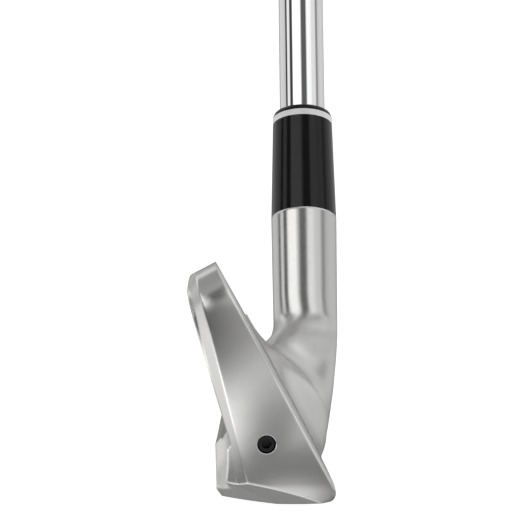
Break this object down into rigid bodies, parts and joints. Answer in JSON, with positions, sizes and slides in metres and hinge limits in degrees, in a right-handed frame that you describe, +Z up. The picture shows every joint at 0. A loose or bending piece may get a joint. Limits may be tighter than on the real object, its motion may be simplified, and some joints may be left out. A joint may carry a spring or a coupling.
{
  "type": "golf iron",
  "caption": "Right-handed cavity-back iron golf club: cast steel head, toe weight port, black ferrule with white ring, stepped chrome steel shaft and rubber grip.",
  "frame": {"origin": "centre of the flat hitting face, on the face plane, with the club soled at its lie angle", "axes": "+Z up from the ground; +X towards the target, the way the face looks; -Y past the toe, +Y towards the player. The shaft leans towards +Y at 62 degrees to the ground"},
  "size_m": [0.0409, 0.5168, 0.8356],
  "materials": {
    "cast_satin_steel": "satin blasted and brushed",
    "pad_rubber": "matt",
    "adhesive_film": "matt",
    "badge_aluminium": "fine brushed, anodised grey",
    "insert_rubber": "matt",
    "epoxy": "cured resin",
    "tip_weight_brass": "turned",
    "ferrule_black": "polished",
    "ferrule_white": "polished",
    "shaft_chrome": "bright chrome plate",
    "band_print": "plain silver film",
    "tape_paper": "crepe paper",
    "grip_rubber": "matt, textured",
    "slug_tungsten": "sintered",
    "screw_black": "black oxide"
  },
  "bodies": {
    "club": {"head_casting": "cast_satin_steel", "badge_damping_pad": "pad_rubber", "badge_adhesive_film": "adhesive_film", "cavity_badge_plate": "badge_aluminium", "tuning_port_insert": "insert_rubber", "hosel_epoxy": "epoxy", "shaft_tip_weight": "tip_weight_brass", "ferrule_body": "ferrule_black", "ferrule_trim_ring": "ferrule_white", "ferrule_cap": "ferrule_black", "shaft": "shaft_chrome", "shaft_band": "band_print", "grip_tape": "tape_paper", "grip_sleeve": "grip_rubber", "grip_end_cap": "grip_rubber"},
    "toe_weight": {"toe_weight_slug": "slug_tungsten"},
    "toe_screw": {"toe_weight_screw": "screw_black"}
  },
  "joints": [
    {"name": "toe_weight_travel", "type": "slide", "parent": "club", "child": "toe_weight", "axis": [0, -1, 0], "range_m": [0, 0.0048]},
    {"name": "toe_screw_turn", "type": "hinge", "parent": "toe_weight", "child": "toe_screw", "pos_m": [-0.00505, -0.0249, -0.00646], "axis": [0, -1, 0], "range_deg": [0, 2880]}
  ],
  "couplings": [
    {"joint": "toe_screw_turn", "follows": "toe_weight_travel", "rad_per_m": 10472}
  ]
}
